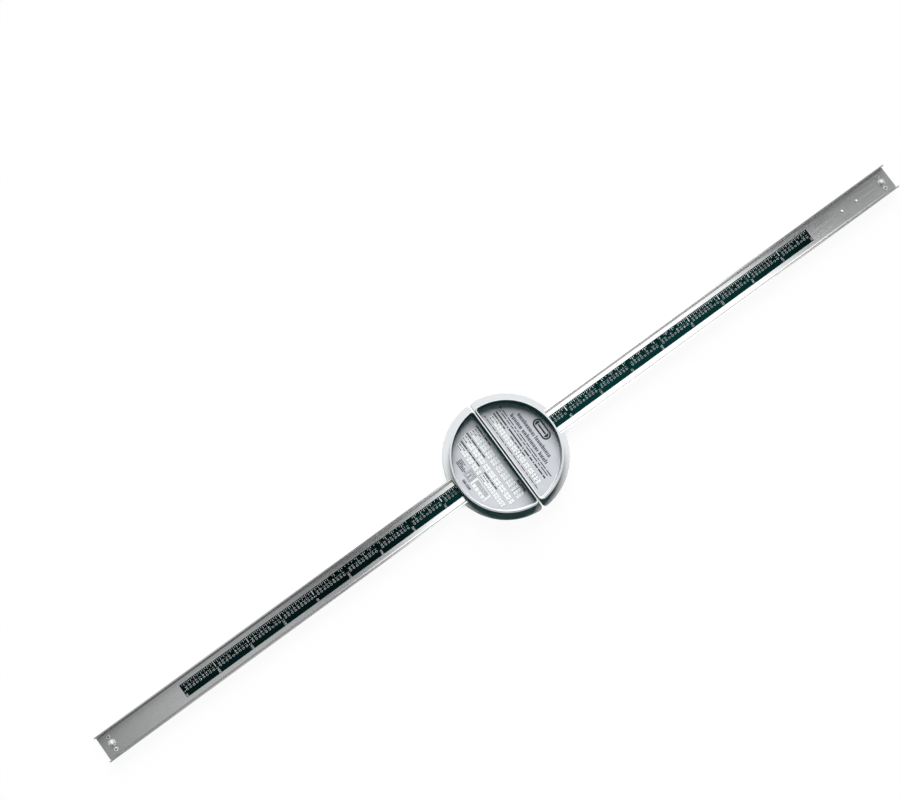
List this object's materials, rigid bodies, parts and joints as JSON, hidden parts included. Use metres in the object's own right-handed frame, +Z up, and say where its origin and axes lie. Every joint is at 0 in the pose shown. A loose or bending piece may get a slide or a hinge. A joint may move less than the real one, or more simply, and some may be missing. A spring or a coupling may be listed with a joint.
{
  "type": "drive belt gauge",
  "caption": "Sliding gauge: half discs on a channel rail with a printed scale are pushed apart inside a drive belt until it is tight, to read the belt's length.",
  "frame": {"origin": "on the surface that the feet stand on, under the middle of the rail's length and width", "axes": "+Y along the rail towards the start of the scale, +Z up out of the open side of the rail, +X to the right when the scale's numbers stand upright"},
  "size_m": [0.1626, 1.255, 0.0293],
  "materials": {
    "rail_aluminium": "drawn, satin anodised",
    "tape_black": "printed film, satin",
    "foot_rubber": "matt",
    "rivet_steel": "zinc plated, satin",
    "disc_plastic": "moulded, fine grain",
    "label_film": "silver film, satin",
    "keeper_aluminium": "rolled sheet",
    "screw_steel": "zinc plated",
    "glide_plastic": "smooth",
    "spring_steel": "rolled strip"
  },
  "bodies": {
    "rail": {"rail_channel": "rail_aluminium", "scale_tape": "tape_black", "foot_upper": "foot_rubber", "foot_lower": "foot_rubber", "tube_rivets_upper": "rivet_steel", "tube_rivets_lower": "rivet_steel", "stop_stud_upper": "rivet_steel", "stop_stud_lower": "rivet_steel"},
    "upper_half": {"half_disc_upper": "disc_plastic", "label_upper": "label_film", "keeper_plate_upper": "keeper_aluminium", "keeper_screws_upper": "screw_steel", "glide_strips_upper": "glide_plastic", "brake_spring_upper": "spring_steel", "parking_spring": "spring_steel", "parking_spring_screws": "screw_steel"},
    "lower_half": {"half_disc_lower": "disc_plastic", "label_lower": "label_film", "keeper_plate_lower": "keeper_aluminium", "keeper_screws_lower": "screw_steel", "glide_strips_lower": "glide_plastic", "brake_spring_lower": "spring_steel"}
  },
  "joints": [
    {"name": "upper_slide", "type": "slide", "parent": "rail", "child": "upper_half", "axis": [0, 1, 0], "range_m": [0, 0.5442]},
    {"name": "lower_slide", "type": "slide", "parent": "rail", "child": "lower_half", "axis": [0, -1, 0], "range_m": [0, 0.5288]}
  ]
}
